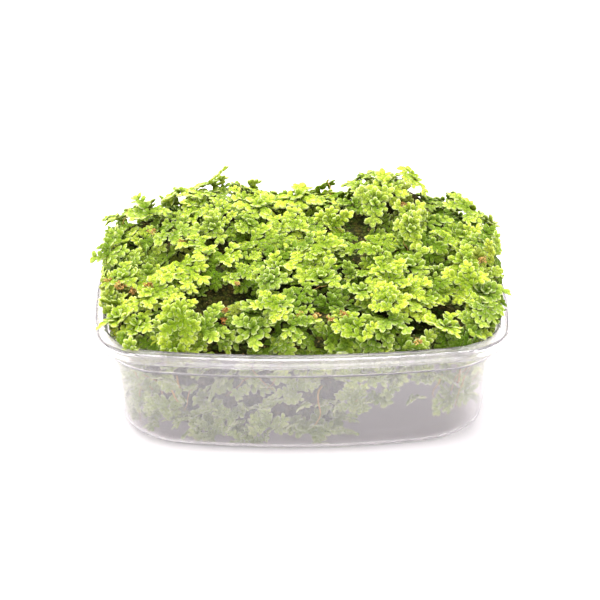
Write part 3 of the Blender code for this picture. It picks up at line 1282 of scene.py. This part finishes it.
    def tone_at(self, place: Vector) -> float:
        """Draws how yellow the fern is at a place.

        Args:
            place: The place.
        Returns:
            The tone, from 0 for sage green to 1 for yellow green.
        """
        tone = self.usual_tone + self.draw.uniform(-self.tone_spread, self.tone_spread)
        tone += sum(spot.value * spot.nearness(place) for spot in self.tones)
        return min(1.0, max(0.0, tone))

    def light_at(self, place: Vector) -> float:
        """Painted light at a place, which makes the tips paler than usual: most on top of the heap."""
        return self.usual_painted_light + self.top_painted_light * smooth_share(place.z, *self.painted_light_heights)

    def on_fern(self, place: Vector) -> Vector:
        """Slides a place along the camera's line of sight to where the fern's surface is.

        Args:
            place: The place to start from.
        Returns:
            The place on the surface, or the same place where there is no fern.
        """
        if not len(self.cloud):
            high = [seat for seat in self.seats if seat.middle.z > self.shade]
            self.cloud = np.concatenate([seat.placed()[::3] for seat in high])
        for step in range(self.sight_steps, -1, -1):
            moved = place + step * self.sight_step * Vector(self.sight)
            apart = np.hypot(self.cloud[:, 0] - moved.x, self.cloud[:, 1] - moved.y)
            near = apart < self.sight_width
            if near.any() and self.cloud[near, 2].max() >= moved.z:
                return moved
        return place

    def in_gap(self, place: Vector, reach: float) -> bool:
        """Whether a plant of this reach would cover a gap."""
        return any((place - gap.middle()).length < gap.radius * MM + reach for gap in self.gaps)

    def crowded(self, place: Vector, spacing: float, seats: list[Seat]) -> bool:
        """Whether another plant already lies closer than the spacing."""
        return any((seat.middle - place).length < spacing for seat in seats)

    def place_on_mat(self) -> tuple[Vector, Vector]:
        """Draws a place on the mat above the rim.

        Returns:
            The place and the surface's outward direction.
        """
        face = self.draw.choices(self.faces, self.areas)[0]
        shares = sorted((self.draw.random(), self.draw.random()))
        corners = [vert.co for vert in face.verts]
        weights = (shares[0], shares[1] - shares[0], 1 - shares[1])
        place = sum((corner * weight for corner, weight in zip(corners, weights)), Vector())
        return place, face.normal.copy()

    def seat_on_nodes(self) -> None:
        """Lays one plant in the place of each CAD plant, at its size and tilt."""
        for name in sorted(self.frame["nodes"]):
            if not name.startswith("fern_plant"):
                continue
            mesh = self.frame["nodes"][name].data
            points = np.empty(len(mesh.vertices) * 3, dtype=np.float32)
            mesh.vertices.foreach_get("co", points)
            points = points.reshape(-1, 3)
            middle = Vector((points.min(axis=0) + points.max(axis=0)) / 2)
            _, axes = np.linalg.eigh(np.cov((points - points.mean(axis=0)).T))
            facing = Vector(axes[:, 0])
            stem = Vector(axes[:, 2]) * self.draw.choice((-1, 1))
            outward = middle - Vector((0, 0, self.core))
            if facing.dot(outward) < 0:
                facing.negate()
            span = float(np.ptp(points @ axes[:, 2])) * 1.02
            shares = {Habit.FROND: 0.4, Habit.FAN: 0.3, Habit.ROSETTE: 0.3}
            pattern = self.stock.pick(self.draw, shares)
            # Painted light for the plant, most on the heap's top.
            look = {"tone": self.tone_at(middle), "painted_light": self.light_at(middle), "node": name}
            self.seats.append(Seat(pattern, middle, facing, stem, span, **look))

    def seat_stacks(self) -> None:
        """Lays the shelves of level fans."""
        for stack in self.stacks:
            stem = unit(Vector((*stack.step[:2], 0)).cross(Vector((0, 0, 1))))
            for number in range(stack.count):
                facing = unit(Vector((0, -0.3, 1)) + 0.14 * random_direction(self.draw))
                pattern = self.draw.choice(self.stock.patterns[Habit.FAN] + self.stock.patterns[Habit.FROND])
                turned = unit(stem + 0.5 * random_direction(self.draw))
                middle = stack.middle(number)
                tone = stack.tone + self.draw.uniform(-0.12, 0.12)
                # The shelves get a little more painted light than usual.
                self.seats.append(Seat(pattern, middle, facing, turned, pattern.span, tone, painted_light=1.1))

    def seat_on_mat(self, layer: Layer) -> None:
        """Lays plants on the mat, as many as the spacing lets in.

        Args:
            layer: How they lie.
        """
        laid: list[Seat] = [seat for seat in self.seats if layer.among_nodes]
        for _ in range(layer.tries):
            place, outward = self.place_on_mat()
            swell = noise.noise(place / self.relief_length)
            place = place + outward * (self.draw.uniform(layer.low, layer.high) + self.relief * swell)
            if self.in_gap(place, self.gap_reach) or self.crowded(place, layer.spacing, laid):
                continue
            lean = layer.lean * (1 - smooth_share(place.y, 10 * MM, 44 * MM))
            facing = outward + lean * Vector((0, -1, 0.25)) + layer.slant * random_direction(self.draw)
            facing.normalize()
            stem = unit(facing.cross(random_direction(self.draw)))
            shares = {Habit.FROND: 0.3, Habit.FAN: 0.3, Habit.ROSETTE: 0.25, Habit.SPRIG: 0.15}
            pattern = self.stock.pick(self.draw, shares)
            span = pattern.span * self.draw.uniform(0.82, 1.05)
            age = max(spot.value * spot.nearness(place) for spot in self.aged) * self.draw.uniform(0.4, 1.0)
            # Painted shade: a lower layer's tone is taken down, and the tone follows the swell, darker green
            # in hollows and yellower on mounds.
            tone = max(0.0, self.tone_at(place) - layer.painted_shade + 0.4 * swell)
            # Painted light: lighter or darker plant by plant at random, and most on the heap's top.
            painted_light = layer.painted_light * self.light_at(place) * self.draw.uniform(0.62, 1.18)
            seat = Seat(pattern, place, facing, stem, span, tone, age, painted_light)
            self.draw_in(seat)
            laid.append(seat)
            self.seats.append(seat)

    def draw_in(self, seat: Seat) -> None:
        """Shifts a plant so that it stays over the tub and under the crest.

        Args:
            seat: The plant's seat, which is changed.
        """
        points = seat.placed()
        back = smooth_share(seat.middle.y, -20 * MM, 24 * MM)
        ends = [end + more * back for end, more in zip(self.ends, self.ends_behind)]
        for axis, (low, high) in enumerate((ends, self.sides)):
            seat.middle[axis] += max(0.0, low * MM - points[:, axis].min())
            seat.middle[axis] -= max(0.0, points[:, axis].max() - high * MM)
        top = np.interp(seat.middle.x / MM, [x for x, _ in self.crest], [z for _, z in self.crest]) * MM
        seat.middle.z -= max(0.0, points[:, 2].max() - float(top))

    def kept_free(self, place: Vector) -> bool:
        """Whether a place inside the wall is one that is kept free of fern."""
        return place.z < self.least_height + self.corner.height_at(place)

    def seat_on_wall(self, band: Band) -> None:
        """Lays plants inside the wall: some flat against it, some with only their edges out.

        Args:
            band: How they lie.
        """
        laid: list[Seat] = []
        for _ in range(band.tries):
            height = self.draw.uniform(band.low, band.high)
            ring = self.tub.ring_at(height, self.draw.uniform(*band.depth))
            number = self.draw.randrange(len(ring))
            after = ring[(number + 1) % len(ring)]
            place = Vector((*ring[number], height))
            if self.kept_free(place) or self.crowded(place, band.spacing, laid):
                continue
            along = unit(Vector((after[0] - place.x, after[1] - place.y, 0)))
            outward = along.cross(Vector((0, 0, 1)))
            facing = outward + Vector((0, 0, band.look_up)) + 0.45 * random_direction(self.draw)
            if self.draw.random() < band.on_edge:
                turn = self.draw.uniform(-1.2, 1.2)
                facing = cos(turn) * (Vector((0, 0, 1)) - 0.45 * outward) + sin(turn) * along
                facing += 0.25 * random_direction(self.draw)
            facing.normalize()
            stem = unit(facing.cross(random_direction(self.draw)))
            shares = {Habit.FROND: 0.1, Habit.FAN: 0.12, Habit.SPRIG: 0.78}
            pattern = self.stock.pick(self.draw, shares)
            span = pattern.span * self.draw.uniform(*band.size)
            seat = Seat(pattern, place, facing, stem, span, self.draw.uniform(0.1, 0.9))
            if height > self.shade:
                seat.tone = self.tone_at(place)
                self.draw_in(seat)
            laid.append(seat)
            self.seats.append(seat)

    def tangle(self) -> bpy.types.Object:
        """Makes the inside from the mat, in its painted-shade finish: drawn in, lumpy, and hollow at the
        gaps.

        Returns:
            The tangle, which stands for the mat.
        """
        shape = self.mat.copy()
        bmesh.ops.subdivide_edges(shape, edges=shape.edges, cuts=1, use_grid_fill=True)
        bmesh.ops.recalc_face_normals(shape, faces=shape.faces)
        moves = {}
        for vert in shape.verts:
            depth = self.tangle_depths[0 if vert.co.z > self.tub.height else 1]
            depth += sum(self.tangle_gap * gap.nearness(vert.co) for gap in self.gaps)
            depth += self.tangle_lumps * noise.noise(vert.co / self.tangle_lump_length)
            moves[vert] = vert.co - vert.normal * depth + self.corner.push(vert.co)
        for vert, place in moves.items():
            vert.co = place
        points = self.tub.keep_inside(np.array([vert.co[:] for vert in shape.verts]), 2 * MM)
        for vert, place in zip(shape.verts, points):
            vert.co = place
        piece = place_shape("inner_tangle", shape, TangleFinish(self.effects).build())
        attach(piece, ROOT)
        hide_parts("fern_mat")
        return piece

    def clump_name(self, seat: Seat) -> str:
        """Names the piece that a plant belongs to.

        Args:
            seat: The plant's seat.
        Returns:
            The name, by where the plant lies.
        """
        x, y, z = seat.middle
        depth = "front" if y < self.front_edge else "middle" if y < self.back_edge else "back"
        if z < self.shade:
            depth = "low_" + ("front" if y < 0 else "back")
        return "fern_%s_%s" % (depth, "left" if x < 0 else "right")

    def build(self) -> list[bpy.types.Object]:
        """Lays all plants and joins them into clumps by where they lie.

        Returns:
            The clumps and the tangle.
        """
        self.seat_on_nodes()
        self.seat_stacks()
        for layer in self.layers:
            self.seat_on_mat(layer)
        for band in self.bands:
            self.seat_on_wall(band)
        fresh = FernFinish(self.effects).build()
        lit_copy_behind_wall = FernFinish.lit_copy_behind_wall(self.effects).build()
        clumps: dict[str, Clump] = {}
        for seat in self.seats:
            name = self.clump_name(seat)
            # Fronds below that height get the painted-light copy of the finish.
            finish = lit_copy_behind_wall if seat.middle.z < self.shade else fresh
            clumps.setdefault(name, Clump(name, finish, "fern_plant")).seats.append(seat)
        return [clumps[name].build(self.tub) for name in sorted(clumps)] + [self.tangle()]


@dataclass
class OldRoots:
    """Thin old roots that hang between the plants, and dead bits that lie on them."""

    heap: Heap
    effects: SharedEffects
    seed: int = 9
    root_count: int = 60
    root_joints: int = 9
    taper: float = 0.93
    strands: tuple[Spot, ...] = (
        Spot(52.0, -40.2, 26, 15, 0.15),
        Spot(52.8, -38.6, 20, 12, 0.3),
        Spot(50.2, -40.4, 24, 13, 0.45),
        Spot(54.0, -38.4, 25, 10, 0.2),
        Spot(-42.3, -41.8, 24, 11, 0.3),
        Spot(-43.0, -41.0, 18, 11, 0.15),
        Spot(-38.5, -42.0, 20, 9, 0.4),
    )
    bits: tuple[Spot, ...] = (
        Spot(-61, -14, 49, 2.5, 0.5),
        Spot(-65.2, -9, 48.5, 2, 0.6),
        Spot(-50.8, -13, 49, 2, 0.85),
        Spot(-22, -19, 51.5, 1.2, 0.4),
        Spot(-26, -36.3, 50.6, 1.5, 0.75),
        Spot(-26, -39.7, 48.4, 1.3, 1.0),
        Spot(4, -37, 48.4, 2, 0.3),
        Spot(8.6, -38, 47.5, 1.6, 0.55),
        Spot(12.8, -37.6, 49.4, 1.5, 0.7),
        Spot(37, -44.4, 42.3, 1.5, 0.35),
        Spot(36.8, 20, 63.2, 1.5, 0.6),
        Spot(62.3, 1.5, 50, 2, 0.2),
        Spot(-51.9, 15, 56, 1.5, 0.3),
        Spot(-41, 4, 57, 1.5, 0.4),
        Spot(-57, -17.5, 48.5, 1.5, 0.6),
        Spot(-1.2, -37, 48.8, 1.5, 0.4),
    )

    def root_pattern(self, draw: Random) -> Pattern:
        """Makes one thin wandering root, from a small ring that is extruded step by step.

        Args:
            draw: Random numbers.
        Returns:
            The root as a pattern.
        """
        shape = bmesh.new()
        layer = shape.verts.layers.float_color.new(GROWTH)
        bmesh.ops.create_circle(shape, cap_ends=True, segments=5, radius=draw.uniform(0.16, 0.3))
        edges = list(shape.edges)
        bmesh.ops.rotate(shape, matrix=Matrix.Rotation(pi / 2, 3, "Y"), verts=shape.verts)
        place = Vector((0, 0, 0))
        heading = Vector((1, 0, 0))
        squeeze = Matrix.Diagonal((self.taper, self.taper, self.taper))
        for _ in range(self.root_joints):
            fresh, edges = extrude_rim(shape, edges)
            heading = unit(heading + 0.45 * random_direction(draw))
            step = heading * draw.uniform(1.2, 1.9)
            bmesh.ops.translate(shape, vec=step, verts=list(fresh))
            place = place + step
            bmesh.ops.rotate(shape, cent=place, matrix=squeeze, verts=list(fresh))
        bmesh.ops.holes_fill(shape, edges=edges)
        bmesh.ops.recalc_face_normals(shape, faces=shape.faces)
        bmesh.ops.scale(shape, vec=(MM, MM, MM), verts=shape.verts)
        for vert in shape.verts:
            vert[layer] = (0.0, 0.0, 0.0, 0.0)
        return Pattern.of(shape)

    def bit_pattern(self, draw: Random) -> Pattern:
        """Makes one crumb of dead fern: a few small curled lobes.

        Args:
            draw: Random numbers.
        Returns:
            The crumb as a pattern.
        """
        shape = bmesh.new()
        layer = shape.verts.layers.float_color.new(GROWTH)
        for _ in range(draw.randint(5, 8)):
            made = bmesh.ops.create_icosphere(shape, subdivisions=1, radius=0.5)["verts"]
            sizes = (draw.uniform(1.2, 2.2), draw.uniform(0.6, 1.0), draw.uniform(0.4, 0.8), 1)
            stretch = Matrix.Diagonal(sizes)
            turn = random_direction(draw).to_track_quat("X", "Z").to_matrix().to_4x4()
            shift = Matrix.Translation(1.1 * random_direction(draw))
            bmesh.ops.transform(shape, matrix=shift @ turn @ stretch, verts=made)
            tone = draw.uniform(-0.25, 0.25)
            for vert in made:
                vert[layer] = (0.0, 0.0, tone, 0.0)
        bmesh.ops.scale(shape, vec=(MM, MM, MM), verts=shape.verts)
        return Pattern.of(shape)

    def roots(self, finish: bpy.types.Material) -> Clump:
        """Lays the roots inside the wall and among the plants.

        Args:
            finish: Their material.
        Returns:
            The roots as one clump.
        """
        draw = Random(self.seed)
        patterns = [self.root_pattern(draw) for _ in range(5)]
        clump = Clump("old_roots", finish, "fern_mat")
        down = Vector((0, 0, -1))
        for spot in self.strands:
            stem = unit(down + 0.35 * random_direction(draw))
            pattern = draw.choice(patterns)
            forward = Vector((0, -1, 0))
            clump.seats.append(Seat(pattern, spot.middle(), forward, stem, spot.radius * MM, spot.value))
        for _ in range(self.root_count):
            height = draw.uniform(5, 34) * MM
            x, y = draw.choice(self.heap.tub.ring_at(height, draw.uniform(0.8, 3.5) * MM))
            place = Vector((x, y, height))
            if self.heap.kept_free(place):
                continue
            facing = unit(Vector((x, y, 0)) + 20 * MM * random_direction(draw))
            stem = unit(down + 0.8 * random_direction(draw))
            pattern, span = draw.choice(patterns), draw.uniform(8, 16) * MM
            clump.seats.append(Seat(pattern, place, facing, stem, span, draw.uniform(0.0, 0.5)))
        for _ in range(self.root_count // 4):
            place, outward = self.heap.place_on_mat()
            stem = unit(outward.cross(random_direction(draw)) + 0.4 * outward)
            facing = unit(stem.cross(random_direction(draw)))
            pattern, span = draw.choice(patterns), draw.uniform(5, 10) * MM
            place = place + 1.5 * MM * outward
            clump.seats.append(Seat(pattern, place, facing, stem, span, draw.uniform(0.1, 0.7)))
        return clump

    def dead_bits(self, finish: bpy.types.Material) -> Clump:
        """Lays crumbs of dead fern at their spots on the heap.

        Args:
            finish: Their material.
        Returns:
            The crumbs as one clump.
        """
        draw = Random(self.seed + 1)
        patterns = [self.bit_pattern(draw) for _ in range(4)]
        clump = Clump("dead_bits", finish, "fern_plant")
        for spot in self.bits:
            middle = self.heap.on_fern(spot.middle())
            for _ in range(max(5, round(spot.radius * 5))):
                shift = random_direction(draw) * draw.uniform(0.2, 1.0) * spot.radius * MM
                place = middle + Vector((shift.x, shift.y, 0.5 * shift.z))
                facing = random_direction(draw)
                stem = unit(facing.cross(random_direction(draw)))
                span = draw.uniform(0.9, 1.9) * MM
                clump.seats.append(Seat(draw.choice(patterns), place, facing, stem, span, spot.value))
        return clump

    def build(self) -> list[bpy.types.Object]:
        """Builds the roots and the dead bits.

        Returns:
            Both pieces.
        """
        finish = RootFinish(self.effects).build()
        return [clump.build(self.heap.tub) for clump in (self.roots(finish), self.dead_bits(finish))]


@dataclass
class SoftLight:
    """One soft box of the studio."""

    name: str
    place: tuple[float, float, float]
    size: tuple[float, float]
    power: float

    def build(self, target: Vector) -> None:
        """Hangs the light.

        Args:
            target: What it points at.
        """
        data = bpy.data.lights.new(self.name, "AREA")
        data.shape = "RECTANGLE"
        data.size, data.size_y = self.size
        data.energy = self.power
        lamp = bpy.data.objects.new(self.name, data)
        lamp.location = self.place
        lamp.rotation_euler = (target - Vector(self.place)).to_track_quat("-Z", "Y").to_euler()
        bpy.context.scene.collection.objects.link(lamp)


@dataclass
class Studio:
    """White paper, soft light from above and all round, and the camera."""

    effects: SharedEffects
    lights: tuple[SoftLight, ...] = (
        SoftLight("top_light", (-0.12, 0.2, 1.15), (1.7, 1.2), 26.0),
        SoftLight("crown_light", (0.0, 0.1, 0.4), (0.3, 0.2), 1.5),
        SoftLight("front_light", (0.1, -1.1, 0.55), (0.9, 0.7), 8.5),
        SoftLight("left_light", (-0.9, -0.3, 0.3), (0.7, 0.5), 8.0),
        SoftLight("right_light", (0.9, -0.3, 0.3), (0.7, 0.5), 8.0),
    )
    sky: Colour = (1.0, 0.985, 1.0)
    surround: float = 0.4
    elevation: float = 26.0
    distance: float = 0.65
    turn: float = 1.4
    aim: tuple[float, float, float] = (0.0, 0.0, 36 * MM)
    focal: float = 111.9
    sensor: float = 36.0
    shift: float = -1 / 600
    floor_half: float = 3.0
    floor_drop: float = 0.2 * MM

    def floor(self) -> None:
        """Lays the paper just under the tub."""
        shape = bmesh.new()
        bmesh.ops.create_grid(shape, x_segments=12, y_segments=12, size=self.floor_half)
        bmesh.ops.translate(shape, vec=(0, 0, -self.floor_drop), verts=shape.verts)
        floor = place_shape("studio_floor", shape, PaperFinish(self.effects).build())

    def camera(self) -> None:
        """Sets the camera at the photograph's viewing angle."""
        lift = radians(self.elevation)
        look = Vector((0, cos(lift), -sin(lift)))
        look.rotate(Matrix.Rotation(-radians(self.turn), 3, "Z"))
        data = bpy.data.cameras.new("photo_camera")
        data.lens = self.focal
        data.sensor_width = self.sensor
        data.shift_x = self.shift
        data.clip_start = 0.01
        camera = bpy.data.objects.new("photo_camera", data)
        camera.location = Vector(self.aim) - look * self.distance
        camera.rotation_euler = look.to_track_quat("-Z", "Y").to_euler()
        bpy.context.scene.collection.objects.link(camera)
        bpy.context.scene.camera = camera

    def build(self) -> None:
        """Lays the floor, hangs the lights and sets the camera."""
        self.floor()
        for light in self.lights:
            light.build(Vector(self.aim))
        world = bpy.data.worlds.new("white_studio")
        world.use_nodes = True
        background = world.node_tree.nodes["Background"]
        Bench(world.node_tree).feed(background, {"Color": (*self.sky, 1.0), "Strength": self.surround})
        bpy.context.scene.world = world
        bpy.context.scene.view_settings.view_transform = "Standard"
        self.camera()


def report(pieces: list[bpy.types.Object]) -> None:
    """Logs each piece's name and how many faces it has."""
    for piece in pieces:
        LOG.info("%s: %d faces", piece.name, len(piece.data.polygons))


def main() -> None:
    """Builds the tub, the fern, the old roots and the studio, and notes the sizes."""
    handler = logging.StreamHandler(sys.stdout)
    handler.setFormatter(logging.Formatter("%(message)s"))
    LOG.addHandler(handler)
    LOG.setLevel(logging.INFO)
    LOG.propagate = False
    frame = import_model()
    effects = SharedEffects()
    tub = Tub(PlasticFinish(effects))
    report([tub.build()])
    heap = Heap(frame, tub, PlantStock(), effects)
    report(heap.build())
    report(OldRoots(heap, effects).build())
    Studio(effects).build()


if __name__ == "__main__":
    main()
